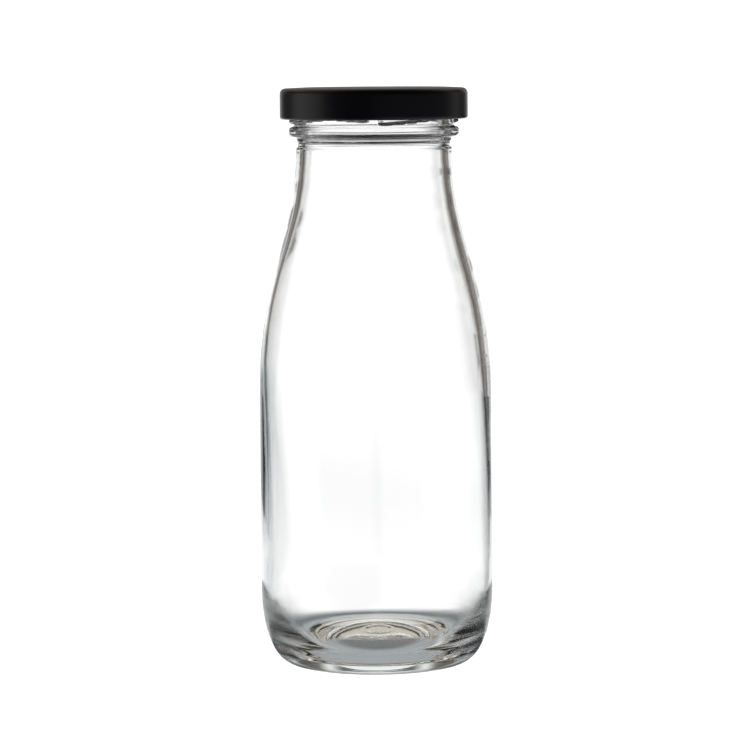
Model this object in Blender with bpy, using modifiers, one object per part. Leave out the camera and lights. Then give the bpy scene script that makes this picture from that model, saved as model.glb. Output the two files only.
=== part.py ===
"""A clear glass bottle with a turned-up lug cap, in metres, standing on z = 0 with its axis on +Z.

Three pieces: the moulded glass bottle, the rolled and lacquered steel shell of the cap, and the
soft sealing ring inside the cap. Sizes are written in millimetres and scaled by MM where they
become points.
"""

import math

import bmesh
import bpy

MM = 0.001
TURN_STEPS = 40
HEEL_STEPS = 10
PUSH_UP_STEPS = 4
FLOOR_STEPS = 6
CURL_STEPS = 12
SHARP_ANGLE = 35

# Bottle, outside
BODY_RADIUS = 31.65
HEEL_WIDTH = 11.8
HEEL_HEIGHT = 21.3
HEEL_POWER = 0.71
SHOULDER_HEIGHT = 91.1
SHOULDER_BEND = 112.8
NECK_FOOT_HEIGHT = 128.0
NECK_FOOT_RADIUS = 21.73
NECK_FOOT_BEND = 81.2
NECK_RADIUS = 21.2
NECK_HEIGHT = 139.5

# Bottle, base and inside
BEARING_WIDTH = 1.6
PUSH_UP = 4.4
BODY_WALL = 1.8
NECK_WALL = 2.4
FLOOR_HEIGHT = 6.6
FLOOR_CROWN = 2.2
INNER_HEEL_WIDTH = 11.0
INNER_HEEL_HEIGHT = 17.0
NECK_FLARE = 0.4

# Bottle, finish: everything the cap works on, placed from the lower edge of the closed cap
SKIRT_HEIGHT = 148.7
FINISH_RADIUS = 21.7
RIM_ROUNDING = 0.9
BEAD_RADIUS = 23.18
BEAD_DROP = 1.95
BEAD_WIDTH = 2.85
BEAD_ROUNDING = 1.2
WAIST_RADIUS = 20.72
WAIST_DROP = 1.6
PARTING_RADIUS = 21.24
PARTING_FOOT = 1.1
PARTING_TOP = 1.7
FINISH_FILLET = 0.3
WAIST_FILLET = 0.4
PARTING_FILLET = 0.2
NECK_BEND = 4.0

# Threads
STARTS = 4
LEAD = 12.0
THREAD_RADIUS = 23.25
THREAD_WIDTH = 1.5
THREAD_SPAN = 114.0
THREAD_DROP = 0.65
THREAD_AZIMUTH = -86.0
THREAD_STATIONS = 20
THREAD_END = 4.0
THREAD_ROOT = 0.4
THREAD_FLANK = 0.72
THREAD_CREST = 0.45
THREAD_TIP = 0.3
THREAD_TIP_GAP = 0.006

# Cap
CAP_RADIUS = 25.5
CAP_HEIGHT = 8.6
SHEET = 0.22
CAP_ROUNDING = 1.6
PANEL_RADIUS = 19.4
PANEL_STEP = 0.28
PANEL_BEND = 4.0
CURL_RADIUS = 0.8
CURL_TURN = 280.0
LUG_INNER_RADIUS = 22.1
LUG_THICKNESS = 0.85
LUG_WIDTH = 12.0
LUG_STATIONS = 6
LUG_NOSE = 0.2
LUG_EASE = 0.7
LUG_OVERLAP = 1.2
LUG_BEFORE_START = 7.5
CLEARANCE = 0.3

# Sealing ring
SEAL_THICKNESS = 0.9
SEAL_INNER_RADIUS = 17.6
SEAL_OUTER_RADIUS = 24.0
SEAL_EDGE = 0.25

CAP_TOP = SKIRT_HEIGHT + CAP_HEIGHT
SEAL_TOP = CAP_TOP - PANEL_STEP - SHEET - CLEARANCE
SEAL_FOOT = SEAL_TOP - SEAL_THICKNESS
RIM_HEIGHT = SEAL_FOOT - CLEARANCE
START_ANGLE = 360.0 / STARTS


def clear_scene():
    for found in list(bpy.data.objects):
        bpy.data.objects.remove(found, do_unlink=True)


def new_collection(name):
    made = bpy.data.collections.new(name)
    bpy.context.scene.collection.children.link(made)
    return made


def new_material(name, colour, roughness, metallic):
    made = bpy.data.materials.new(name)
    made.use_nodes = True
    shader = made.node_tree.nodes["Principled BSDF"]
    shader.inputs["Base Color"].default_value = (*colour, 1.0)
    shader.inputs["Roughness"].default_value = roughness
    shader.inputs["Metallic"].default_value = metallic
    return made


def mesh_object(name, points, edges, faces, where):
    """An object at the origin from points in millimetres."""
    mesh = bpy.data.meshes.new(name)
    mesh.from_pydata([(x * MM, y * MM, z * MM) for x, y, z in points], edges, faces)
    made = bpy.data.objects.new(name, mesh)
    where.objects.link(made)
    return made


def arc(centre, radius, first, last, count):
    """Points on an arc in the (radius, height) plane, from angle first to last in degrees."""
    points = []
    for i in range(count + 1):
        angle = math.radians(first + (last - first) * i / count)
        points.append((centre[0] + radius * math.cos(angle), centre[1] + radius * math.sin(angle)))
    return points


def rounded(corners):
    """A path through (radius, height, rounding, segments) corners, each turned on its own arc."""
    path = [corners[0][:2]]
    for before, corner, after in zip(corners, corners[1:], corners[2:]):
        to_before = (before[0] - corner[0], before[1] - corner[1])
        to_after = (after[0] - corner[0], after[1] - corner[1])
        length_before = math.hypot(*to_before)
        length_after = math.hypot(*to_after)
        along_before = (to_before[0] / length_before, to_before[1] / length_before)
        along_after = (to_after[0] / length_after, to_after[1] / length_after)
        opening = math.acos(along_before[0] * along_after[0] + along_before[1] * along_after[1])
        rounding = corner[2]
        inset = rounding / math.tan(opening / 2)
        start = (corner[0] + along_before[0] * inset, corner[1] + along_before[1] * inset)
        side = 1 if along_before[0] * along_after[1] > along_before[1] * along_after[0] else -1
        centre = (start[0] - side * along_before[1] * rounding, start[1] + side * along_before[0] * rounding)
        first = math.degrees(math.atan2(start[1] - centre[1], start[0] - centre[0]))
        sweep = -side * (180 - math.degrees(opening))
        path += arc(centre, rounding, first, first + sweep, corner[3])
    path.append(corners[-1][:2])
    return path


def turned(name, section, where):
    """A (radius, height) path turned a full circle about the axis."""
    points = [(radius, 0.0, height) for radius, height in section]
    edges = [(i, i + 1) for i in range(len(points) - 1)]
    made = mesh_object(name, points, edges, [], where)
    screw = made.modifiers.new("turn", "SCREW")
    screw.axis = "Z"
    screw.angle = math.tau
    screw.steps = TURN_STEPS
    screw.render_steps = TURN_STEPS
    screw.use_merge_vertices = True
    screw.merge_threshold = 0.0001 * MM
    return made


def lofted(name, rings, where):
    """A closed body through rings of equal count, with both ends filled."""
    count = len(rings[0])
    points = [point for ring in rings for point in ring]
    faces = []
    for i in range(len(rings) - 1):
        for j in range(count):
            k = (j + 1) % count
            faces.append((i * count + j, i * count + k, (i + 1) * count + k, (i + 1) * count + j))
    last = (len(rings) - 1) * count
    faces.append(tuple(reversed(range(count))))
    faces.append(tuple(range(last, last + count)))
    made = mesh_object(name, points, [], faces, where)
    body = bmesh.new()
    body.from_mesh(made.data)
    bmesh.ops.recalc_face_normals(body, faces=body.faces)
    body.to_mesh(made.data)
    body.free()
    return made


def around(radius, azimuth, height):
    """A point from its radius, its azimuth in degrees and its height."""
    angle = math.radians(azimuth)
    return (radius * math.cos(angle), radius * math.sin(angle), height)


def joined(target, addition):
    """Unites a shape with the target, which keeps its name."""
    union = target.modifiers.new(addition.name, "BOOLEAN")
    union.operation = "UNION"
    union.solver = "EXACT"
    union.object = addition
    addition.hide_render = True
    addition.display_type = "WIRE"


def smooth(made):
    for face in made.data.polygons:
        face.use_smooth = True
    made.data.set_sharp_from_angle(angle=math.radians(SHARP_ANGLE))


def heel_curve():
    """From the bearing ring out and up to the body, on a quarter of a squared ellipse."""
    inner = BODY_RADIUS - HEEL_WIDTH
    points = []
    for i in range(HEEL_STEPS + 1):
        angle = math.pi / 2 * i / HEEL_STEPS
        reach = math.sin(angle) ** HEEL_POWER
        points.append((inner + HEEL_WIDTH * reach, HEEL_HEIGHT * (1 - math.cos(angle))))
    return points


def push_up_curve():
    """From the inner edge of the bearing ring to the middle of the underside, on a quarter of an ellipse."""
    bearing = BODY_RADIUS - HEEL_WIDTH - BEARING_WIDTH
    points = []
    for i in range(PUSH_UP_STEPS):
        angle = math.pi / 2 * i / PUSH_UP_STEPS
        points.append((bearing * math.cos(angle), PUSH_UP * math.sin(angle)))
    return points + [(0.0, PUSH_UP)]


def outer_section():
    """Down the outside of the bottle, from the rim to the middle of its underside."""
    bead_top = SKIRT_HEIGHT - BEAD_DROP
    bead_foot = bead_top - BEAD_WIDTH
    finish = rounded(
        [
            (FINISH_RADIUS - NECK_WALL / 2, RIM_HEIGHT, 0, 0),
            (FINISH_RADIUS, RIM_HEIGHT, RIM_ROUNDING, 3),
            (FINISH_RADIUS, bead_top, FINISH_FILLET, 2),
            (BEAD_RADIUS, bead_top, BEAD_ROUNDING, 4),
            (BEAD_RADIUS, bead_foot, BEAD_ROUNDING, 4),
            (PARTING_RADIUS, bead_foot, WAIST_FILLET, 2),
            (WAIST_RADIUS, bead_foot - WAIST_DROP, WAIST_FILLET, 2),
            (WAIST_RADIUS, NECK_HEIGHT + PARTING_TOP, WAIST_FILLET, 2),
            (PARTING_RADIUS, NECK_HEIGHT + PARTING_FOOT, PARTING_FILLET, 2),
            (NECK_RADIUS, NECK_HEIGHT, NECK_BEND, 1),
            (NECK_FOOT_RADIUS, NECK_FOOT_HEIGHT, NECK_FOOT_BEND, 4),
            (BODY_RADIUS, SHOULDER_HEIGHT, SHOULDER_BEND, 6),
            (BODY_RADIUS, HEEL_HEIGHT, 0, 0),
        ]
    )
    return finish + heel_curve()[-2::-1] + push_up_curve()


def floor_curve():
    """From the middle of the floor out and up to the wall: a raised cosine, then a quarter of an ellipse."""
    trough = BODY_RADIUS - BODY_WALL - INNER_HEEL_WIDTH
    points = []
    for i in range(FLOOR_STEPS + 1):
        share = i / FLOOR_STEPS
        lift = FLOOR_CROWN * (1 + math.cos(math.pi * share)) / 2
        points.append((trough * share, FLOOR_HEIGHT + lift))
    for i in range(1, FLOOR_STEPS + 1):
        angle = math.pi / 2 * i / FLOOR_STEPS
        rise = INNER_HEEL_HEIGHT * (1 - math.cos(angle))
        points.append((trough + INNER_HEEL_WIDTH * math.sin(angle), FLOOR_HEIGHT + rise))
    return points


def inner_section():
    """Up the inside of the bottle, from the middle of its floor to the rim."""
    inner_body = BODY_RADIUS - BODY_WALL
    inner_neck = NECK_RADIUS - NECK_WALL
    wall = rounded(
        [
            (inner_body, FLOOR_HEIGHT + INNER_HEEL_HEIGHT, 0, 0),
            (inner_body, SHOULDER_HEIGHT, SHOULDER_BEND - BODY_WALL, 6),
            (inner_neck + NECK_FLARE, NECK_FOOT_HEIGHT, NECK_FOOT_BEND + NECK_WALL, 4),
            (inner_neck, NECK_HEIGHT, NECK_BEND, 1),
            (inner_neck, RIM_HEIGHT, RIM_ROUNDING, 3),
            (FINISH_RADIUS - NECK_WALL / 2, RIM_HEIGHT, 0, 0),
        ]
    )
    return floor_curve()[:-1] + wall[:-1]


def end_rounding(along, length, end):
    """0 at the tip of a ridge, 1 once it is a full end away from it, on a quarter circle."""
    reach = min(along, length - along, end) / end
    return math.sqrt(max(0.0, 1 - (1 - reach) ** 2))


def thread_ridge(index, where):
    """One of the starts: a rounded ridge climbing to the right, its two ends run out."""
    root = FINISH_RADIUS - THREAD_ROOT
    low = SKIRT_HEIGHT - THREAD_DROP
    rings = []
    for i in range(THREAD_STATIONS + 1):
        share = (1 - math.cos(math.pi * i / THREAD_STATIONS)) / 2
        turn = THREAD_SPAN * (THREAD_TIP_GAP + (1 - 2 * THREAD_TIP_GAP) * share)
        size = end_rounding(turn, THREAD_SPAN, THREAD_END)
        azimuth = THREAD_AZIMUTH + index * START_ANGLE + turn
        height = low + LEAD * turn / 360
        half = THREAD_WIDTH / 2 * size
        crest = root + (THREAD_RADIUS - root) * (THREAD_TIP + (1 - THREAD_TIP) * size)
        flank = root + (crest - root) * THREAD_FLANK
        rings.append(
            [
                around(root, azimuth, height - half),
                around(flank, azimuth, height - half),
                around(crest, azimuth, height - half * THREAD_CREST),
                around(crest, azimuth, height + half * THREAD_CREST),
                around(flank, azimuth, height + half),
                around(root, azimuth, height + half),
            ]
        )
    return lofted(f"thread_{index}", rings, where)


def make_bottle(parts, cutters):
    bottle = turned("bottle", inner_section() + outer_section(), parts)
    smooth(bottle)
    for index in range(STARTS):
        joined(bottle, thread_ridge(index, cutters))
    bottle.data.materials.append(new_material("clear glass", (0.80, 0.86, 0.83), 0.03, 0.0))
    return bottle


def shell_path():
    """The outside of the cap sheet: panel, step, corner, skirt and the inward curl."""
    curl_centre = (CAP_RADIUS - CURL_RADIUS, SKIRT_HEIGHT + CURL_RADIUS)
    upper = rounded(
        [
            (0.0, CAP_TOP, 0, 0),
            (PANEL_RADIUS, CAP_TOP, PANEL_BEND, 2),
            (CAP_RADIUS, CAP_TOP - PANEL_STEP, CAP_ROUNDING, 4),
            (CAP_RADIUS, curl_centre[1], 0, 0),
        ]
    )
    return upper[:-1] + arc(curl_centre, CURL_RADIUS, 0, -CURL_TURN, CURL_STEPS)


def lug(index, where):
    """One inward lug, pressed out of the curl, lying just under a thread."""
    centre = THREAD_AZIMUTH + (index + 1) * START_ANGLE - LUG_BEFORE_START
    passed = START_ANGLE - LUG_BEFORE_START
    thread_foot = SKIRT_HEIGHT - THREAD_DROP - THREAD_WIDTH / 2
    outer = CAP_RADIUS - LUG_OVERLAP
    rings = []
    for i in range(LUG_STATIONS + 1):
        across = LUG_WIDTH * (i / LUG_STATIONS - 0.5)
        top = thread_foot + LEAD * (passed + across) / 360 - CLEARANCE
        ease = math.sqrt(max(0.0, 1 - (2 * across / LUG_WIDTH) ** 2))
        inner = LUG_INNER_RADIUS + (1 - ease) * LUG_EASE
        azimuth = centre + across
        rings.append(
            [
                around(inner + LUG_NOSE, azimuth, top - LUG_THICKNESS),
                around(outer, azimuth, top - LUG_THICKNESS),
                around(outer, azimuth, top),
                around(inner + LUG_NOSE, azimuth, top),
                around(inner, azimuth, top - LUG_THICKNESS / 2),
            ]
        )
    return lofted(f"lug_{index}", rings, where)


def make_cap_shell(parts, cutters):
    shell = turned("cap_shell", shell_path(), parts)
    smooth(shell)
    sheet = shell.modifiers.new("sheet", "SOLIDIFY")
    sheet.thickness = SHEET * MM
    sheet.offset = -1.0
    sheet.use_even_offset = True
    for index in range(STARTS):
        joined(shell, lug(index, cutters))
    shell.data.materials.append(new_material("black lacquered steel", (0.012, 0.012, 0.014), 0.32, 0.0))
    return shell


def make_cap_seal(parts):
    middle = (SEAL_TOP + SEAL_FOOT) / 2
    section = rounded(
        [
            (SEAL_INNER_RADIUS, middle, 0, 0),
            (SEAL_INNER_RADIUS, SEAL_TOP, SEAL_EDGE, 1),
            (SEAL_OUTER_RADIUS, SEAL_TOP, SEAL_EDGE, 1),
            (SEAL_OUTER_RADIUS, SEAL_FOOT, SEAL_EDGE, 1),
            (SEAL_INNER_RADIUS, SEAL_FOOT, SEAL_EDGE, 1),
            (SEAL_INNER_RADIUS, middle, 0, 0),
        ]
    )
    seal = turned("cap_seal", section, parts)
    smooth(seal)
    seal.data.materials.append(new_material("plastisol", (0.62, 0.60, 0.55), 0.6, 0.0))
    return seal


def main():
    clear_scene()
    parts = new_collection("glass milk bottle")
    cutters = new_collection("cutters")
    make_bottle(parts, cutters)
    make_cap_shell(parts, cutters)
    make_cap_seal(parts)


main()
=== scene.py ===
# %% [markdown]
# # A clear glass milk bottle under a black lug cap
#
# The bottle stands on z = 0 with its axis on +Z, and the front faces -Y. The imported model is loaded
# first: it fixes every size and every joint. The visual pieces then take the place of the plain
# solids, each riding on the body of the solid that it replaces.

import math

import bpy
import numpy as np
from mathutils import Matrix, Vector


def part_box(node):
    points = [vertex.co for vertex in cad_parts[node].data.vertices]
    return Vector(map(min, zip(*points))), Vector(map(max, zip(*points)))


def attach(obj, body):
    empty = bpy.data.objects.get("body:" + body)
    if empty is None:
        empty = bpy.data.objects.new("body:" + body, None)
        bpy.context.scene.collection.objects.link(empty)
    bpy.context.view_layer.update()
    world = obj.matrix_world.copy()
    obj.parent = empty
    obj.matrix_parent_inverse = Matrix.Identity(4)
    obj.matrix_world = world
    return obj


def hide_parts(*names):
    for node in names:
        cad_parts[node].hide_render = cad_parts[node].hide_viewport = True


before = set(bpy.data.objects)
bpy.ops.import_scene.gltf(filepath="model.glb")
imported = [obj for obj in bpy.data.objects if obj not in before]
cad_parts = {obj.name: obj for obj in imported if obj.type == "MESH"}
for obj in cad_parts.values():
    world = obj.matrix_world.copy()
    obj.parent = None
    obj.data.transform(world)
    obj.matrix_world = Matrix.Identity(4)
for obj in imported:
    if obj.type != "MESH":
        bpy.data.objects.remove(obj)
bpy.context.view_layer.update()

MM = 0.001

# %% [markdown]
# ## Sizes that come from the frame
#
# The outline of a bottle is a handful of radii and heights. The outer ones are read from the boxes of
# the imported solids, so the fine surface can't drift away from the model that it replaces. The rest are
# the drawing sizes of the finish, in millimetres.

# %% Read the boxes
bottle_low, bottle_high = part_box("bottle")
shell_low, shell_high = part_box("cap_shell")
seal_low, seal_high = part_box("cap_seal")

BODY_RADIUS = bottle_high[0] / MM
RIM_HEIGHT = bottle_high[2] / MM
SKIRT_HEIGHT = shell_low[2] / MM
CAP_TOP = shell_high[2] / MM
CAP_RADIUS = shell_high[0] / MM
SEAL_FOOT = seal_low[2] / MM
SEAL_TOP = seal_high[2] / MM
SEAL_RADIUS = seal_high[0] / MM
print("body radius", BODY_RADIUS, "rim", RIM_HEIGHT, "cap", CAP_RADIUS, CAP_TOP, SKIRT_HEIGHT)

# %% [markdown]
# ## Paths
#
# Every piece here is turned, so its shape is a path in the (radius, height) plane carried round the
# axis. A path is easiest to draw as a few corners, each rounded on its own arc, and then read off
# at even steps, which gives a smooth row of points wherever it bends.


# %% Rounded paths
ARC_STEP = 5


def rounded(corners):
    """A path through rows of (radius, height, rounding).

    At each corner an arc of the given rounding touches both sides, so that the path leaves one side
    at rounding / tan(half the opening) before the corner and joins the next as far after it.
    """
    path = [np.array(corners[0][:2], float)]
    for before, corner, after in zip(corners, corners[1:], corners[2:]):
        here = np.array(corner[:2], float)
        back = np.array(before[:2]) - here
        ahead = np.array(after[:2]) - here
        back /= np.linalg.norm(back)
        ahead /= np.linalg.norm(ahead)
        half = math.acos(np.clip(back @ ahead, -1, 1)) / 2
        middle = (back + ahead) / np.linalg.norm(back + ahead)
        centre = here + middle * corner[2] / math.sin(half)
        start = here + back * corner[2] / math.tan(half) - centre
        end = here + ahead * corner[2] / math.tan(half) - centre
        count = max(3, int(math.degrees(math.pi - 2 * half) / ARC_STEP) + 2)
        share = np.linspace(0, 1, count)[:, None]
        turn = math.pi - 2 * half
        arc = (np.sin((1 - share) * turn) * start + np.sin(share * turn) * end) / math.sin(turn)
        path += list(centre + arc)
    path.append(np.array(corners[-1][:2], float))
    return np.array(path)


def evenly(path, step):
    """The same path with a point about every step millimetres, its ends kept."""
    lengths = np.linalg.norm(np.diff(path, axis=0), axis=1)
    along = np.concatenate([[0], np.cumsum(lengths)])
    count = max(2, int(round(along[-1] / step)) + 1)
    there = np.linspace(0, along[-1], count)
    return np.stack([np.interp(there, along, path[:, k]) for k in (0, 1)], axis=1)


# %% [markdown]
# ## From a path to a closed surface
#
# A grid of (row along the path, column round the axis) becomes a mesh: numpy works out all its points
# and faces at once. The columns wrap round, so there is no seam. A path that starts and ends on the
# axis closes there with one point, a pole, instead of a ring of doubled points. The signed volume tells
# whether the faces point outwards, and they are flipped where they don't.


# %% Grid to mesh
COLUMNS = 230


def closed_grid(name, x, y, z, first_pole=None, last_pole=None):
    """Points x, y, z of shape (rows, columns) in millimetres, wrapped round, with poles at the ends.

    Without poles the last row joins the first, so that the surface is a closed ring.
    """
    rows, columns = x.shape
    points = np.stack([x, y, z], axis=-1).reshape(-1, 3)
    row, column = np.meshgrid(np.arange(rows - 1), np.arange(columns), indexing="ij")
    if first_pole is None:
        row, column = np.meshgrid(np.arange(rows), np.arange(columns), indexing="ij")
    right = (column + 1) % columns
    below = (row + 1) % rows
    quads = np.stack(
        [row * columns + column, row * columns + right, below * columns + right, below * columns + column],
        axis=-1,
    ).reshape(-1, 4)
    faces = [tuple(quad) for quad in quads.tolist()]
    ring = np.arange(columns)
    if first_pole is not None:
        points = np.vstack([points, [0, 0, first_pole], [0, 0, last_pole]])
        top, bottom = rows * columns, rows * columns + 1
        last = (rows - 1) * columns
        faces += [(top, (i + 1) % columns, i) for i in ring.tolist()]
        faces += [(bottom, last + i, last + (i + 1) % columns) for i in ring.tolist()]
    mesh = bpy.data.meshes.new(name)
    mesh.from_pydata((points * MM).tolist(), [], faces)
    mesh.update()
    mesh.shade_smooth()
    made = bpy.data.objects.new(name, mesh)
    bpy.context.scene.collection.objects.link(made)
    if volume_of(mesh) < 0:
        mesh.flip_normals()
    print(name, "faces", len(mesh.polygons), "volume cm3", round(abs(volume_of(mesh)) * 1e6, 2))
    return made


def turned_grid(path):
    """A path carried round the axis: radius, height, azimuth (degrees) and angle (radians) at each point."""
    azimuth = np.linspace(0, 360, COLUMNS, endpoint=False)[None, :]
    radius = path[:, :1] + 0 * azimuth
    height = path[:, 1:] + 0 * azimuth
    return radius, height, azimuth, np.radians(azimuth)


def volume_of(mesh):
    """The signed volume: a sixth of the sum of a . (b x c) over the triangles."""
    mesh.calc_loop_triangles()
    corners = np.empty(len(mesh.loop_triangles) * 3, int)
    mesh.loop_triangles.foreach_get("vertices", corners)
    places = np.empty(len(mesh.vertices) * 3)
    mesh.vertices.foreach_get("co", places)
    a, b, c = places.reshape(-1, 3)[corners.reshape(-1, 3)].transpose(1, 0, 2)
    return float(np.einsum("ij,ij->i", a, np.cross(b, c)).sum() / 6)


# %% [markdown]
# ## The bottle's outside
#
# A glass bottle is blown in a two-part mould, so its outside is crisp. From the rim down there are the
# finish wall with its four thread starts, the bead that the capping machine grips, a narrow waist, the
# low step where the neck ring met the body mould, the long neck and shoulder, the body, and the heel.

# %% Sizes of the outside
FINISH_RADIUS = 21.7
LIP = 1.4
RIM_ROUNDING = 0.9
BEAD_RADIUS = 23.18
BEAD_GAP = 1.95
BEAD_HEIGHT = 2.85
BEAD_TOP = SKIRT_HEIGHT - BEAD_GAP
BEAD_FOOT = BEAD_TOP - BEAD_HEIGHT
BEAD_ROUNDING = 1.25
BEAD_FILLET = 0.35
COLLAR_RADIUS = 21.1
COLLAR_DROP = 0.9
COLLAR_ROUNDING = 0.4
WAIST_RADIUS = 20.72
WAIST_DROP = 1.5
WAIST_ROUNDING = 0.5
PARTING_RADIUS = 21.24
PARTING_TOP = 1.7
PARTING_FOOT = 1.15
PARTING_ROUNDING = 0.25
NECK_RADIUS = 21.2
NECK_HEIGHT = 139.5
NECK_FOOT = (21.73, 128.0, 81.2)
SHOULDER = (BODY_RADIUS, 91.1, 112.8)
HEEL_WIDTH = 11.8
HEEL_HEIGHT = 21.3
HEEL_POWER = 0.71
BEARING_WIDTH = 1.6
PUSH_UP = 4.4
PUSH_UP_POWER = 2.6
RING_MARK = (3.6, 0.5, 0.10)
FINISH_STEP = 0.3
LONG_STEP = 1.6
HEEL_STEP = 0.45
PUSH_UP_STEP = 0.4
HEEL_POINTS = 60
PUSH_UP_POINTS = 160


# %% Outside path
def heel_path():
    """The outer heel, from the bearing ring out to the wall, as a circle's quarter pulled wider."""
    angle = np.linspace(0, math.pi / 2, HEEL_POINTS)
    reach = np.sin(angle) ** HEEL_POWER
    inner = BODY_RADIUS - HEEL_WIDTH
    return np.stack([inner + HEEL_WIDTH * reach, HEEL_HEIGHT * (1 - np.cos(angle))], axis=1)


def push_up_path():
    """From the bearing ring to the middle of the underside: height 4.4 (1 - (radius / edge) ^ 2.6).

    One round mark, left by the mould's bottom plate, stands out of it as a Gaussian ring.
    """
    edge = BODY_RADIUS - HEEL_WIDTH - BEARING_WIDTH
    radius = np.linspace(edge, 0.0, PUSH_UP_POINTS)
    ring, width, depth = RING_MARK
    lift = PUSH_UP * (1 - (radius / edge) ** PUSH_UP_POWER)
    lift = lift - depth * np.exp(-(((radius - ring) / width) ** 2))
    return np.stack([radius, lift], axis=1)


finish_path = rounded(
    [
        (FINISH_RADIUS - LIP, RIM_HEIGHT, 0),
        (FINISH_RADIUS, RIM_HEIGHT, RIM_ROUNDING),
        (FINISH_RADIUS, BEAD_TOP, BEAD_FILLET),
        (BEAD_RADIUS, BEAD_TOP, BEAD_ROUNDING),
        (BEAD_RADIUS, BEAD_FOOT, BEAD_ROUNDING),
        (COLLAR_RADIUS, BEAD_FOOT, BEAD_FILLET),
        (COLLAR_RADIUS, BEAD_FOOT - COLLAR_DROP, COLLAR_ROUNDING),
        (WAIST_RADIUS, BEAD_FOOT - WAIST_DROP, WAIST_ROUNDING),
        (WAIST_RADIUS, NECK_HEIGHT + PARTING_TOP, WAIST_ROUNDING),
        (PARTING_RADIUS, NECK_HEIGHT + PARTING_FOOT, PARTING_ROUNDING),
        (NECK_RADIUS, NECK_HEIGHT, 0),
    ]
)
long_path = rounded([(NECK_RADIUS, NECK_HEIGHT, 0), NECK_FOOT, SHOULDER, (BODY_RADIUS, HEEL_HEIGHT, 0)])
outside = np.vstack(
    [
        evenly(finish_path, FINISH_STEP),
        evenly(long_path, LONG_STEP)[1:],
        evenly(heel_path()[::-1], HEEL_STEP)[1:],
        evenly(push_up_path(), PUSH_UP_STEP)[:-1],
    ]
)
print("outside rows", len(outside))

# %% [markdown]
# ## The bottle's inside
#
# The inside is shaped by air and not by the mould, so it is smoother than the outside and never quite
# even. The floor is a low dome over the push-up, and a wide heel leads from it to the wall, since hot
# glass gathers there. The inside path follows the outside at the wall's thickness, and what is uneven
# in a real bottle is added when the path is turned.

# %% Inside path
BODY_WALL = 1.8
NECK_WALL = 2.4
FLOOR_HEIGHT = 6.6
FLOOR_CROWN = 2.2
INNER_HEEL_WIDTH = 11.0
INNER_HEEL_HEIGHT = 17.0
NECK_FLARE = 0.4
INNER_NECK_BEND = 20.0
FLOOR_STEP = 0.5
WALL_STEP = 1.5
DOME_POINTS = 60
INNER_HEEL_POINTS = 40

inner_neck = NECK_RADIUS - NECK_WALL
inner_body = BODY_RADIUS - BODY_WALL


def floor_path():
    """The inner floor: a raised cosine over the push-up, then a quarter of an ellipse up to the wall."""
    trough = inner_body - INNER_HEEL_WIDTH
    radius = np.linspace(0, trough, DOME_POINTS)
    dome = FLOOR_HEIGHT + FLOOR_CROWN * (0.5 + 0.5 * np.cos(math.pi * radius / trough))
    angle = np.radians(np.linspace(0, 90, INNER_HEEL_POINTS)[1:])
    heel_radius = trough + INNER_HEEL_WIDTH * np.sin(angle)
    heel_height = FLOOR_HEIGHT + INNER_HEEL_HEIGHT * (1 - np.cos(angle))
    return np.vstack([np.stack([radius, dome], axis=1), np.stack([heel_radius, heel_height], axis=1)])


wall_path = rounded(
    [
        (inner_body, FLOOR_HEIGHT + INNER_HEEL_HEIGHT, 0),
        (inner_body, SHOULDER[1], SHOULDER[2] - BODY_WALL),
        (inner_neck + NECK_FLARE, NECK_FOOT[1], NECK_FOOT[2] + NECK_WALL),
        (inner_neck, NECK_HEIGHT, INNER_NECK_BEND),
        (inner_neck, RIM_HEIGHT, RIM_ROUNDING),
        (FINISH_RADIUS - LIP, RIM_HEIGHT, 0),
    ]
)
inside = np.vstack([evenly(floor_path(), FLOOR_STEP)[1:], evenly(wall_path, WALL_STEP)[1:-1]])
print("inside rows", len(inside))

# %% [markdown]
# ## Thread starts
#
# The cap's lugs ride under four short ridges that climb to the right. A ridge is a bump on the finish
# wall: its height over the wall depends on how far a point lies from the helix, up or down, and it
# fades at both ends. Because it is added to the radius, the glass stays one closed surface.

# %% Thread shape
LEAD = 12.0
STARTS = 4
THREAD_RADIUS = 23.25
THREAD_WIDTH = 1.5
THREAD_SPAN = 114.0
THREAD_DROP = 0.65
THREAD_LOW = SKIRT_HEIGHT - THREAD_DROP
THREAD_AZIMUTH = -86.0
THREAD_END = 4.0
THREAD_TIP = 0.3


def thread_bump(azimuth, height):
    """How far the ridges stand out at each azimuth (degrees) and height.

    With u the distance from the ridge's middle over half its width, the bump is
    (1 - u^4) inside the ridge and 0 outside, with both ends rounded on a half ellipse.
    """
    bump = np.zeros_like(height)
    for start in range(STARTS):
        turn = (azimuth - THREAD_AZIMUTH - start * 360 / STARTS) % 360
        end = np.clip(np.minimum(turn, THREAD_SPAN - turn) / THREAD_END, 0, 1)
        size = np.sqrt(1 - (1 - end) ** 2)
        middle = THREAD_LOW + LEAD * turn / 360
        across = np.abs(height - middle) / np.maximum(THREAD_WIDTH / 2 * size, 1e-6)
        ridge = (1 - np.clip(across, 0, 1) ** 4) * (THREAD_TIP + (1 - THREAD_TIP) * size)
        bump = np.maximum(bump, np.where(size > 0, ridge, 0))
    return bump * (THREAD_RADIUS - FINISH_RADIUS)


# %% [markdown]
# ## What is uneven in the glass
#
# Three small faults make turned glass look blown. The wall is thicker on one side low down and on the
# other side at the shoulder, where the hot glass settled. The floor leans a little. The outside keeps
# faint level waves near the foot. They could be noise, but a few sines are smooth, and smoothness is
# what keeps the things seen through the glass whole.

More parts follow.
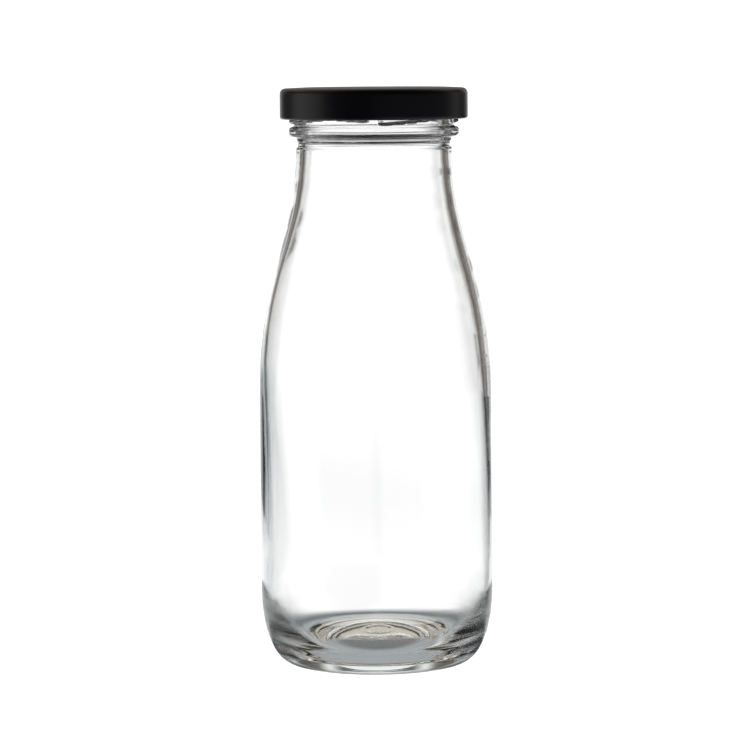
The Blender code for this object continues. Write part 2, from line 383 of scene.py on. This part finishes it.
# %% Build the bottle
FLOOR_LEAN = 0.11
LEAN_TOP = 32
LEAN_FADE = 22
WAVE_HEIGHT = 0.004
WAVE_STEP = 1.7
WAVE_TOP = 28
WAVE_FADE = 14
WAVE_FOOT = 4
THREAD_GUARD = 0.3
UPRIGHT_RADIUS = 24
SETTLED = np.array(
    [
        (6, 0.2),
        (18, 0.55),
        (30, 0.75),
        (40, 0.65),
        (52, 0.45),
        (66, 0.15),
        (82, -0.35),
        (118, -0.6),
        (139, -0.4),
    ]
)


def washboard(angle, height):
    """Fine level waves low on the bottle: a sine of the height, swaying a little round the axis.

    They lie 1.7 mm apart, are at most 0.004 mm high, are strongest on the two sides, and die out
    by a height of 28 mm.
    """
    sway = 0.7 * np.sin(2 * angle + 0.7) + 0.2 * np.sin(5 * angle + 2.0)
    fade = np.clip((WAVE_TOP - height) / WAVE_FADE, 0, 1) * np.clip(height / WAVE_FOOT, 0, 1)
    sides = 0.2 + 0.8 * np.cos(angle) ** 2
    return WAVE_HEIGHT * fade * sides * np.sin(2 * math.pi * (height + sway) / WAVE_STEP)


def uneven_wall(angle, height):
    """How much the wall is thicker than its mean: a cosine round the bottle, with height deciding its size.

    Low down the glass has settled on the -X side, and at the shoulder on the +X side. Two smaller
    cosines, of 0.12 and 0.05 mm, make it less regular.
    """
    side = np.interp(height, SETTLED[:, 0], SETTLED[:, 1])
    return -side * np.cos(angle) + 0.12 * np.cos(2 * angle + 0.6) + 0.05 * np.cos(3 * angle + height / 14)


def make_bottle():
    """The inside rows going up, then the outside rows coming down, turned together as one skin."""
    radius, height, azimuth, angle = turned_grid(np.vstack([inside, outside]))
    is_inside = (np.arange(len(radius)) < len(inside))[:, None]

    on_finish = (~is_inside) & (height > BEAD_TOP) & (radius > FINISH_RADIUS - THREAD_GUARD)
    radius = radius + np.where(on_finish, thread_bump(azimuth, height), 0)

    upright = np.clip(radius / UPRIGHT_RADIUS, 0, 1) ** 4
    radius = radius - np.where(is_inside, uneven_wall(angle, height) * upright, 0)
    waves = (WAVE_HEIGHT + washboard(angle, height)) * upright * (height < LEAN_TOP)
    radius = radius - np.where(is_inside, 0, waves)

    x = radius * np.cos(angle)
    y = radius * np.sin(angle)
    lean = FLOOR_LEAN * y * np.clip((LEAN_TOP - height) / LEAN_FADE, 0, 1)
    height = height + np.where(is_inside, lean, 0)
    return closed_grid("milk_bottle_glass", x, y, height, FLOOR_HEIGHT + FLOOR_CROWN, PUSH_UP)


bottle = make_bottle()

# %% [markdown]
# ## The cap shell
#
# The cap is one disc of tinplate 0.22 mm thick. Its panel is pressed a little proud, its edge turns
# down into a plain skirt, and the raw edge is rolled inwards into a curl. At four places the curl is
# pressed further in to make the lugs. The sheet's outer face is one path, and its inner face is the
# same path moved in by the thickness, so both faces and the raw edge make one closed skin.

# %% Cap sheet path
SHEET = 0.22
PANEL_RADIUS = 19.4
PANEL_STEP = 0.28
PANEL_BEND = 5.0
CAP_ROUNDING = 1.6
CURL_RADIUS = 0.8
CURL_TURN = 280.0
CURL_POINTS = 40
SHEET_STEP = 0.35


def curl_arc():
    """A circle of the curl's radius, from the skirt's outside down, in and up again."""
    angle = np.radians(np.linspace(0, -CURL_TURN, CURL_POINTS))
    radius = CAP_RADIUS - CURL_RADIUS + CURL_RADIUS * np.cos(angle)
    height = SKIRT_HEIGHT + CURL_RADIUS + CURL_RADIUS * np.sin(angle)
    return np.stack([radius, height], axis=1)


def moved_in(path, distance):
    """Every point moved to the right of the path's direction by the distance."""
    along = np.gradient(path, axis=0)
    along /= np.linalg.norm(along, axis=1, keepdims=True)
    right = np.stack([along[:, 1], -along[:, 0]], axis=1)
    return path + right * distance


upper_path = rounded(
    [
        (0.0, CAP_TOP, 0),
        (PANEL_RADIUS, CAP_TOP, PANEL_BEND),
        (CAP_RADIUS, CAP_TOP - PANEL_STEP, CAP_ROUNDING),
        (CAP_RADIUS, SKIRT_HEIGHT + CURL_RADIUS, 0),
    ]
)
sheet_outer = np.vstack([evenly(upper_path, SHEET_STEP)[1:-1], curl_arc()])
sheet_inner = moved_in(sheet_outer, SHEET)[::-1]
print("cap sheet rows", len(sheet_outer), "inner radius", sheet_inner[:, 0].max())

# %% Lugs
LUG_SHIFT = 7.5
LUG_AZIMUTH = THREAD_AZIMUTH + 360 / STARTS - LUG_SHIFT
LUG_WIDTH = 12.0
LUG_REACH = 1.6
LUG_TOP = SKIRT_HEIGHT + 2.5 * CURL_RADIUS


def lug_push(azimuth, radius, height):
    """How far the curl is pressed towards the axis: 1.6 (1 - u^4) over each lug's width.

    Only the inner half of the curl moves, and the push fades to nothing at its outer half.
    """
    offset = (azimuth - LUG_AZIMUTH + 180 / STARTS) % (360 / STARTS) - 180 / STARTS
    across = np.clip(np.abs(offset) / (LUG_WIDTH / 2), 0, 1)
    centre = CAP_RADIUS - CURL_RADIUS
    on_curl = np.clip((centre - radius) / CURL_RADIUS, 0, 1) * (height < LUG_TOP)
    return LUG_REACH * (1 - across**4) * on_curl


def make_cap_shell():
    """The sheet's outer face out and down, round the raw edge, and its inner face back to the axis."""
    radius, height, azimuth, angle = turned_grid(np.vstack([sheet_outer, sheet_inner]))
    radius = radius - lug_push(azimuth, radius, height)
    x = radius * np.cos(angle)
    y = radius * np.sin(angle)
    return closed_grid("lug_cap_shell", x, y, height, CAP_TOP, CAP_TOP - SHEET)


cap_shell = make_cap_shell()

# %% [markdown]
# ## The sealing ring
#
# Plastisol is a liquid that is poured into the spinning cap and then cured. It lies as a flat soft
# ring with a rounded inner edge, and the rim has pressed a shallow groove in it.

# %% Sealing ring
GROOVE_DEPTH = 0.22
GROOVE_RADIUS = 20.2
GROOVE_WIDTH = 0.9
SEAL_INNER_RADIUS = 17.6
SEAL_UPPER_ROUNDING = 0.3
SEAL_LOWER_ROUNDING = 0.4
SEAL_STEP = 0.25


def make_cap_seal():
    """A rounded bar turned about the axis, its underside lifted by a Gaussian groove at the rim."""
    middle = (SEAL_FOOT + SEAL_TOP) / 2
    bar = rounded(
        [
            (SEAL_INNER_RADIUS, middle, 0),
            (SEAL_INNER_RADIUS, SEAL_TOP, SEAL_UPPER_ROUNDING),
            (SEAL_RADIUS, SEAL_TOP, SEAL_UPPER_ROUNDING),
            (SEAL_RADIUS, SEAL_FOOT, SEAL_LOWER_ROUNDING),
            (SEAL_INNER_RADIUS, SEAL_FOOT, SEAL_LOWER_ROUNDING),
            (SEAL_INNER_RADIUS, middle, 0),
        ]
    )
    path = evenly(bar, SEAL_STEP)[:-1]
    groove = GROOVE_DEPTH * np.exp(-(((path[:, 0] - GROOVE_RADIUS) / GROOVE_WIDTH) ** 2))
    path[:, 1] += np.where(path[:, 1] < middle, groove, 0)
    radius, height, _, angle = turned_grid(path)
    return closed_grid("plastisol_sealing_ring", radius * np.cos(angle), radius * np.sin(angle), height)


cap_seal = make_cap_seal()

# %% [markdown]
# ## Materials
#
# One function turns a hex colour to the linear values that the shader works in, and one adds a node
# with its settings and its links. The rest are short names for what the surfaces and the light are
# built from: a smooth step, a product, the larger of two values and a mix of two colours.


# %% Helpers for materials
def linear(code):
    """An sRGB hex colour as linear red, green, blue and an alpha of 1."""
    channels = [int(code[i : i + 2], 16) / 255 for i in (1, 3, 5)]
    return tuple(c / 12.92 if c <= 0.04045 else ((c + 0.055) / 1.055) ** 2.4 for c in channels) + (1.0,)


def node(tree, kind, settings=None, **links):
    """A node of that kind with its settings. Each link or value goes to the socket it names."""
    made = tree.nodes.new(kind)
    for key, value in (settings or {}).items():
        setattr(made, key, value)
    for key, value in links.items():
        socket = made.inputs[int(key[1:])] if key[0] == "_" else made.inputs[key.replace("_", " ")]
        if isinstance(value, bpy.types.NodeSocket):
            tree.links.new(value, socket)
        else:
            socket.default_value = value
    return made


def smooth_step(tree, value, first, last, low=0.0, high=1.0):
    """Low before first, high after last, and a smooth S between them."""
    settings = {"interpolation_type": "SMOOTHSTEP"}
    return node(tree, "ShaderNodeMapRange", settings, _0=value, _1=first, _2=last, _3=low, _4=high).outputs[0]


def combined(tree, operation, first, second):
    """Two values through one Math node."""
    return node(tree, "ShaderNodeMath", {"operation": operation}, _0=first, _1=second).outputs[0]


def times(tree, first, second):
    return combined(tree, "MULTIPLY", first, second)


def larger(tree, first, second):
    return combined(tree, "MAXIMUM", first, second)


def mixed_colour(tree, share, first, second):
    """The first colour at share 0 and the second at share 1."""
    return node(tree, "ShaderNodeMix", {"data_type": "RGBA"}, _0=share, _6=first, _7=second).outputs[2]


def new_material(name):
    """An empty material with a Principled shader on its output."""
    made = bpy.data.materials.new(name)
    made.use_nodes = True
    return made, made.node_tree, made.node_tree.nodes["Principled BSDF"]


# %% [markdown]
# ### Soda-lime glass
#
# Clear container glass: it bends light by 1.52, and where it is thick it shows a faint green-grey from
# a trace of iron, which is absorption in the volume and not a colour of the skin. The mould leaves the
# outside slightly rippled over one or two centimetres, stipples the push-up under the foot, and leaves
# the two low sides slightly matt in level streaks. The ripple and the stipple are bumps far too shallow
# to show in the outline, and the matt streaks are a change of roughness, as in etched glass.


# %% Soda-lime glass
REFRACTION = 1.52
GLASS_DENSITY = 9.0
RIPPLE_SCALE = 90.0
RIPPLE_STRENGTH = 0.06
RIPPLE_DEPTH = 0.0002
FROST = 0.24
FROST_HEIGHT = (0.014, 0.024)
FROST_SIDE = (0.017, 0.025)
STREAK_SCALE = (30.0, 30.0, 900.0)
STREAK_RANGE = (0.40, 0.60, 0.45, 1.0)
STIPPLE_TOP = (0.0046, 0.0062)
STIPPLE_EDGE = (0.013, 0.016)
STIPPLE_SCALE = 1100.0
STIPPLE_STRENGTH = 0.35
STIPPLE_DEPTH = 0.00006


def matt_streaks(tree, place):
    """The roughness: nothing but on the two low sides, where it comes and goes in level streaks."""
    parts = node(tree, "ShaderNodeSeparateXYZ", _0=place)
    to_side = node(tree, "ShaderNodeMath", {"operation": "ABSOLUTE"}, _0=parts.outputs[0]).outputs[0]
    low = smooth_step(tree, parts.outputs[2], *FROST_HEIGHT, FROST, 0.0)
    frost = times(tree, low, smooth_step(tree, to_side, *FROST_SIDE))
    level = node(tree, "ShaderNodeVectorMath", {"operation": "MULTIPLY"}, _0=place, _1=STREAK_SCALE)
    streaks = node(tree, "ShaderNodeTexNoise", Vector=level.outputs[0], Scale=1.0, Detail=2.0, Roughness=0.5)
    return times(tree, frost, smooth_step(tree, streaks.outputs["Fac"], *STREAK_RANGE))


def under_the_foot(tree, place):
    """The strength of the stipple: full on the push-up, nothing above it or beyond its edge."""
    height = node(tree, "ShaderNodeSeparateXYZ", _0=place).outputs[2]
    flat = node(tree, "ShaderNodeVectorMath", {"operation": "MULTIPLY"}, _0=place, _1=(1, 1, 0))
    off_centre = node(tree, "ShaderNodeVectorMath", {"operation": "LENGTH"}, _0=flat.outputs[0])
    low = smooth_step(tree, height, *STIPPLE_TOP, STIPPLE_STRENGTH, 0.0)
    return times(tree, low, smooth_step(tree, off_centre.outputs["Value"], *STIPPLE_EDGE, 1.0, 0.0))


def soda_lime_glass():
    material, tree, shader = new_material("soda-lime container glass")
    shader.inputs["Base Color"].default_value = linear("#ffffff")
    shader.inputs["IOR"].default_value = REFRACTION
    shader.inputs["Transmission Weight"].default_value = 1.0
    place = node(tree, "ShaderNodeTexCoord").outputs["Object"]
    tree.links.new(matt_streaks(tree, place), shader.inputs["Roughness"])
    ripple = node(tree, "ShaderNodeTexNoise", Vector=place, Scale=RIPPLE_SCALE, Detail=2.0, Roughness=0.4)
    bump = node(
        tree,
        "ShaderNodeBump",
        Strength=RIPPLE_STRENGTH,
        Distance=RIPPLE_DEPTH,
        Height=ripple.outputs["Fac"],
    )
    stipple = node(tree, "ShaderNodeTexNoise", Vector=place, Scale=STIPPLE_SCALE, Detail=2.0, Roughness=0.6)
    peel = node(
        tree,
        "ShaderNodeBump",
        Strength=under_the_foot(tree, place),
        Distance=STIPPLE_DEPTH,
        Height=stipple.outputs["Fac"],
        Normal=bump.outputs[0],
    )
    tree.links.new(peel.outputs["Normal"], shader.inputs["Normal"])
    iron = node(tree, "ShaderNodeVolumeAbsorption", Color=linear("#b9c2bb"), Density=GLASS_DENSITY)
    tree.links.new(iron.outputs[0], tree.nodes["Material Output"].inputs["Volume"])
    return material


# %% [markdown]
# ### Black lacquered tinplate
#
# The cap is tinplate under a baked black lacquer. Lacquer flows a little before it sets, so it has a
# very fine orange peel. Handling leaves faint level scuffs round the skirt, which are a shade greyer
# and rougher than the rest. The steel can't be seen, so the finish is a dielectric and not a metal.


# %% Black lacquer
SCUFF_SCALE = (140.0, 140.0, 1500.0)
SCUFF_RANGE = (0.58, 0.72)
PATCH_SCALE = 70.0
PATCH_RANGE = (0.48, 0.62)
PEEL_SCALE = 900.0
PEEL_STRENGTH = 0.1
PEEL_DEPTH = 0.00005
LACQUER_ROUGHNESS = (0.30, 0.48)
LACQUER_SHINE = 0.2


def lacquered_tinplate():
    material, tree, shader = new_material("black lacquered tinplate")
    place = node(tree, "ShaderNodeTexCoord").outputs["Object"]
    peel = node(tree, "ShaderNodeTexNoise", Vector=place, Scale=PEEL_SCALE, Detail=2.0, Roughness=0.5)
    drawn = node(tree, "ShaderNodeVectorMath", {"operation": "MULTIPLY"}, _0=place, _1=SCUFF_SCALE)
    streaks = node(tree, "ShaderNodeTexNoise", Vector=drawn.outputs[0], Scale=1.0, Detail=3.0, Roughness=0.6)
    patches = node(tree, "ShaderNodeTexNoise", Vector=place, Scale=PATCH_SCALE, Detail=2.0, Roughness=0.5)
    scratched = smooth_step(tree, streaks.outputs["Fac"], *SCUFF_RANGE)
    worn = times(tree, scratched, smooth_step(tree, patches.outputs["Fac"], *PATCH_RANGE))
    colour = mixed_colour(tree, worn, linear("#101016"), linear("#2a2a33"))
    tree.links.new(colour, shader.inputs["Base Color"])
    tree.links.new(smooth_step(tree, worn, 0.0, 1.0, *LACQUER_ROUGHNESS), shader.inputs["Roughness"])
    shader.inputs["Specular IOR Level"].default_value = LACQUER_SHINE
    bump = node(
        tree, "ShaderNodeBump", Strength=PEEL_STRENGTH, Distance=PEEL_DEPTH, Height=peel.outputs["Fac"]
    )
    tree.links.new(bump.outputs["Normal"], shader.inputs["Normal"])
    return material


# %% [markdown]
# ### Cured plastisol
#
# The sealing compound is a soft vinyl, off-white and semi-matt. It was flowed in as a liquid, so it is
# slightly uneven in tone over a few millimetres and finely pebbled where the steam escaped in curing.


# %% Plastisol
TONE_SCALE = 160.0
TONE_RANGE = (0.35, 0.65)
SEAL_ROUGHNESS = (0.3, 0.7, 0.48, 0.62)
PEBBLE_SCALE = 2500.0
PEBBLE_STRENGTH = 0.3
PEBBLE_DEPTH = 0.00003


def plastisol():
    material, tree, shader = new_material("cured plastisol")
    place = node(tree, "ShaderNodeTexCoord").outputs["Object"]
    tone = node(tree, "ShaderNodeTexNoise", Vector=place, Scale=TONE_SCALE, Detail=2.0, Roughness=0.5)
    pebble = node(tree, "ShaderNodeTexVoronoi", Vector=place, Scale=PEBBLE_SCALE)
    shade = smooth_step(tree, tone.outputs["Fac"], *TONE_RANGE)
    colour = mixed_colour(tree, shade, linear("#c9c3b6"), linear("#d9d5cb"))
    tree.links.new(colour, shader.inputs["Base Color"])
    tree.links.new(smooth_step(tree, tone.outputs["Fac"], *SEAL_ROUGHNESS), shader.inputs["Roughness"])
    bump = node(
        tree,
        "ShaderNodeBump",
        Strength=PEBBLE_STRENGTH,
        Distance=PEBBLE_DEPTH,
        Height=pebble.outputs["Distance"],
    )
    tree.links.new(bump.outputs["Normal"], shader.inputs["Normal"])
    return material


# %% Put the materials on
bottle.data.materials.append(soda_lime_glass())
cap_shell.data.materials.append(lacquered_tinplate())
cap_seal.data.materials.append(plastisol())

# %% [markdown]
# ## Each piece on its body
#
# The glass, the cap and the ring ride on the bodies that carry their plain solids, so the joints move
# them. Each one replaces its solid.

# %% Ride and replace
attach(bottle, "glass")
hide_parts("bottle")
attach(cap_shell, "cap")
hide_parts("cap_shell")
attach(cap_seal, "seal")
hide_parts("cap_seal")

# %% [markdown]
# ## Stage
#
# Clear glass has no colour of its own: it shows what is behind and beside it, bent. With a bright
# ground behind it and dark sides, the edges of the glass draw themselves as dark lines. Here the floor
# and the sky are plain white to the eye. The bottle itself meets a studio with more in it, set by
# direction alone: a bright backdrop behind the bottle, another one across from the side view, a strip
# at the right, a soft ceiling, and shade between them. Lamps and cards could make the same light, but a
# direction can be set to a degree and makes little noise.
#
# Each patch of light is a window round one azimuth, given as the angle up to which it is full, the
# angle at which it ends, and its strength.

# %% Glow by direction
WHITE = 1.25
SHADE = 0.04
CORE = (8, 16, 0.27)
BORDER = (21, 28, 0.82)
GREY = (28, 52, 0.12)
STRIP = (6, 16, 0.5)
STRIP_AZIMUTH = 62


def off_axis(tree, direction, azimuth):
    """The angle in degrees between the level direction and an azimuth, where 0 is +Y and 90 is +X."""
    flat = node(tree, "ShaderNodeVectorMath", {"operation": "MULTIPLY"}, _0=direction, _1=(1, 1, 0))
    level = node(tree, "ShaderNodeVectorMath", {"operation": "NORMALIZE"}, _0=flat.outputs[0])
    turn = math.radians(azimuth)
    axis = (math.sin(turn), math.cos(turn), 0)
    facing = node(tree, "ShaderNodeVectorMath", {"operation": "DOT_PRODUCT"}, _0=level.outputs[0], _1=axis)
    angle = node(tree, "ShaderNodeMath", {"operation": "ARCCOSINE"}, _0=facing.outputs["Value"])
    return combined(tree, "MULTIPLY", angle.outputs[0], 180 / math.pi)


def window(tree, direction, azimuth, full, end, strength):
    """A bright patch: its full strength up to one angle from its azimuth, nothing after another."""
    return smooth_step(tree, off_axis(tree, direction, azimuth), full, end, strength, 0.0)


def from_apex(tree, direction, azimuth, apex):
    """The direction as it would be measured from a point that far in front of the bottle."""
    turn = math.radians(azimuth)
    step = (apex * math.sin(turn), apex * math.cos(turn), 0)
    return node(tree, "ShaderNodeVectorMath", {"operation": "ADD"}, _0=direction, _1=step).outputs[0]


def backdrop(tree, direction, azimuth, apex):
    """The bright ground behind the bottle: a white core, a slightly darker border, then grey, then dark."""
    direction = from_apex(tree, direction, azimuth, apex)
    core = window(tree, direction, azimuth, *CORE)
    border = window(tree, direction, azimuth, *BORDER)
    grey = window(tree, direction, azimuth, *GREY)
    return combined(tree, "ADD", combined(tree, "ADD", core, border), grey)


def far_glow(tree, direction, apex, shade):
    """What the glass meets far away: a backdrop for the front view and one for the side view."""
    both = larger(tree, backdrop(tree, direction, 0, apex), backdrop(tree, direction, -90, apex))
    strip = window(tree, direction, STRIP_AZIMUTH, *STRIP)
    return combined(tree, "ADD", larger(tree, both, strip), shade)


# %% [markdown]
# ### The floor
#
# White paper under and round the bottle. To the eye it is one even white. It is not lit but glows, and to the
# glass its glow is dim in a painted shadow of the bottle, with a painted lighter ring where light would come
# in under the push-up's edge, and further out it follows the backdrops. Each edge is a smooth step of the
# distance from the axis, in metres.

# %% Floor
APEX = 0.12
AHEAD = (52, 66)
UNDER_EDGE = (0.030, 0.042)
SIDE_EDGE = (0.055, 0.090)
RING_START = (0.010, 0.016)
RING_END = (0.026, 0.031)
# The next two levels paint light and shade under the bottle: a lighter ring, and the bottle's shadow.
PAINTED_RING_GLOW = 0.30
PAINTED_UNDER_SHADE = 0.23
NEAR_SHADE = 0.14
SHADE_REACH = (0.15, 0.45)
NEAR_DIM = (0.3, 0.9, 0.86, 1.0)
CARD = (13, 18, 1.0)
CARD_AZIMUTH = 36
CARD_REACH = (0.38, 0.50, 0.0, 0.8)
PATCH_GLOW = 0.95
DIAGONAL = (9, 14, PATCH_GLOW)
DIAGONAL_REACH = (0.30, 0.60, 1.0, 0.0)
TABLE = (56, 68, PATCH_GLOW)
TABLE_AZIMUTH = 115
TABLE_REACH = (0.8, 1.5, 1.0, 0.0)
FLOOR_HALF = 6.0
FLOOR_DROP = 0.0002


def bright_patches(tree, place, distance):
    """Two patches of light across from the diagonal views, and a lit table top at the right."""
    diagonal = larger(tree, window(tree, place, -45, *DIAGONAL), window(tree, place, 135, *DIAGONAL))
    diagonal = times(tree, diagonal, smooth_step(tree, distance, *DIAGONAL_REACH))
    table = window(tree, place, TABLE_AZIMUTH, *TABLE)
    return larger(tree, diagonal, times(tree, table, smooth_step(tree, distance, *TABLE_REACH)))


def floor_around(tree, place, distance):
    """The floor away from the foot: the backdrops and the patches, less one dark card behind at the right."""
    shade = smooth_step(tree, distance, *SHADE_REACH, NEAR_SHADE, SHADE)
    around = larger(tree, far_glow(tree, place, APEX, shade), bright_patches(tree, place, distance))
    around = times(tree, around, smooth_step(tree, distance, *NEAR_DIM))
    card = window(tree, place, CARD_AZIMUTH, *CARD)
    card = times(tree, card, smooth_step(tree, distance, *CARD_REACH))
    return times(tree, around, combined(tree, "SUBTRACT", 1.0, card))


def painted_floor_shadow_and_ring(tree, distance):
    """The painted shadow of the bottle on the glowing floor, with a painted lighter ring under the push-up's
    edge.
    """
    ring_end = smooth_step(tree, distance, *RING_END, 1.0, 0.0)
    ring = times(tree, smooth_step(tree, distance, *RING_START), ring_end)
    return combined(tree, "ADD", times(tree, ring, PAINTED_RING_GLOW), PAINTED_UNDER_SHADE)


def floor_material():
    """White to the eye, and the dimmer floor of the functions above to everything else."""
    material, tree, shader = new_material("white paper floor")
    tree.nodes.remove(shader)
    place = node(tree, "ShaderNodeTexCoord").outputs["Object"]
    distance = node(tree, "ShaderNodeVectorMath", {"operation": "LENGTH"}, _0=place).outputs["Value"]
    side_step = smooth_step(tree, distance, *SIDE_EDGE)
    ahead_step = smooth_step(tree, distance, *UNDER_EDGE)
    clear = node(tree, "ShaderNodeMix", _0=window(tree, place, 0, *AHEAD, 1.0), _2=side_step, _3=ahead_step)
    # The bottle's shadow and the lighter ring under the foot are painted into the floor's glow, not cast.
    painted_shadow = painted_floor_shadow_and_ring(tree, distance)
    around = floor_around(tree, place, distance)
    strength = node(tree, "ShaderNodeMix", _0=clear.outputs[0], _2=painted_shadow, _3=around).outputs[0]
    tint = mixed_colour(tree, strength, linear("#a9bac2"), linear("#ffffff"))
    glow = node(tree, "ShaderNodeEmission", Strength=strength, Color=tint).outputs[0]
    seen = node(tree, "ShaderNodeEmission", Strength=WHITE).outputs[0]
    to_eye = node(tree, "ShaderNodeLightPath").outputs["Is Camera Ray"]
    mix = node(tree, "ShaderNodeMixShader", _0=to_eye, _1=glow, _2=seen)
    tree.links.new(mix.outputs[0], tree.nodes["Material Output"].inputs["Surface"])
    return material


def make_floor():
    corners = [(-1, -1), (1, -1), (1, 1), (-1, 1)]
    mesh = bpy.data.meshes.new("floor")
    mesh.from_pydata([(x * FLOOR_HALF, y * FLOOR_HALF, 0) for x, y in corners], [], [(0, 1, 2, 3)])
    made = bpy.data.objects.new("floor", mesh)
    made.location.z = -FLOOR_DROP
    bpy.context.scene.collection.objects.link(made)
    made.data.materials.append(floor_material())


make_floor()

# %% [markdown]
# ### The sky
#
# The backdrops go on above the horizon and fade upwards. A dark bar hangs low across the main backdrop,
# which gives the foot its darker parts, and a warm ceiling lights the shoulders and the cap. The height
# in each pair of limits is the upward part of the direction, from 0 at the horizon to 1 overhead.

# %% Sky
SKY_SHADE = 0.12
SKY_FADE = (0.26, 0.36, 1.0, 0.4)
BAR_WIDTH = (15, 22, 0.82)
BAR_FOOT = (0.035, 0.070)
BAR_TOP = (0.24, 0.32, 1.0, 0.0)
CEILING_WIDTH = (60, 80, 0.80)
CEILING = (0.40, 0.52)
WARM_ABOVE = (0.22, 0.40)
AHEAD_TINT = (20, 34, 1.0)


def sky_glow(tree, look, height):
    """What the glass meets in each direction above the horizon."""
    low = times(tree, far_glow(tree, look, 0.0, SKY_SHADE), smooth_step(tree, height, *SKY_FADE))
    bar = times(tree, smooth_step(tree, height, *BAR_FOOT), smooth_step(tree, height, *BAR_TOP))
    bar = times(tree, bar, window(tree, look, 0, *BAR_WIDTH))
    low = times(tree, low, combined(tree, "SUBTRACT", 1.0, bar))
    ceiling = times(tree, window(tree, look, 0, *CEILING_WIDTH), smooth_step(tree, height, *CEILING))
    return larger(tree, low, ceiling)


def make_sky():
    """White to the eye. To the rest it is the glow, warm above, and tinted where it is dark."""
    sky = bpy.data.worlds.new("studio")
    bpy.context.scene.world = sky
    sky.use_nodes = True
    tree = sky.node_tree
    look = node(tree, "ShaderNodeTexCoord").outputs["Generated"]
    height = node(tree, "ShaderNodeSeparateXYZ", _0=look).outputs[2]
    to_eye = node(tree, "ShaderNodeLightPath").outputs["Is Camera Ray"]
    strength = node(tree, "ShaderNodeMix", _0=to_eye, _2=sky_glow(tree, look, height), _3=WHITE).outputs[0]
    tree.links.new(strength, tree.nodes["Background"].inputs["Strength"])
    warm = smooth_step(tree, height, *WARM_ABOVE)
    bright = mixed_colour(tree, warm, linear("#ffffff"), linear("#fff3df"))
    ahead = window(tree, look, 0, *AHEAD_TINT)
    dark = mixed_colour(tree, ahead, linear("#d6c8ba"), linear("#dfe4e2"))
    tint = mixed_colour(tree, strength, dark, bright)
    tree.links.new(tint, tree.nodes["Background"].inputs["Color"])


make_sky()

# %% [markdown]
# ## Camera
#
# A long lens about a metre away, a little above the cap and tilted down by five degrees, with the
# slight roll that a hand-set camera has. The long lens keeps the outline of the cap and of the foot
# nearly flat.

# %% Camera
CAMERA_PLACE = (-0.00016, -1.0197, 0.1668)
CAMERA_PITCH = 0.08588
CAMERA_ROLL = -0.0069
SENSOR_WIDTH = 36.0
LENS = 180.2


def make_camera():
    data = bpy.data.cameras.new("camera")
    data.sensor_width = SENSOR_WIDTH
    data.lens = LENS
    made = bpy.data.objects.new("camera", data)
    bpy.context.scene.collection.objects.link(made)
    made.location = CAMERA_PLACE
    turn = Matrix.Rotation(math.pi / 2 - CAMERA_PITCH, 4, "X") @ Matrix.Rotation(CAMERA_ROLL, 4, "Z")
    made.rotation_euler = turn.to_euler()
    bpy.context.scene.camera = made


make_camera()

# %% [markdown]
# ## View
#
# A ray crosses many faces in the foot of the bottle, so more bounces than usual are allowed. Caustics
# are off, because the glowing floor and sky light everything without them. The standard view keeps the
# white of the paper white.

# %% View
BOUNCES = 24
GLOSSY_BOUNCES = 8

scene = bpy.context.scene
scene.view_settings.view_transform = "Standard"
scene.cycles.max_bounces = BOUNCES
scene.cycles.transmission_bounces = BOUNCES
scene.cycles.glossy_bounces = GLOSSY_BOUNCES
scene.cycles.caustics_reflective = False
scene.cycles.caustics_refractive = False
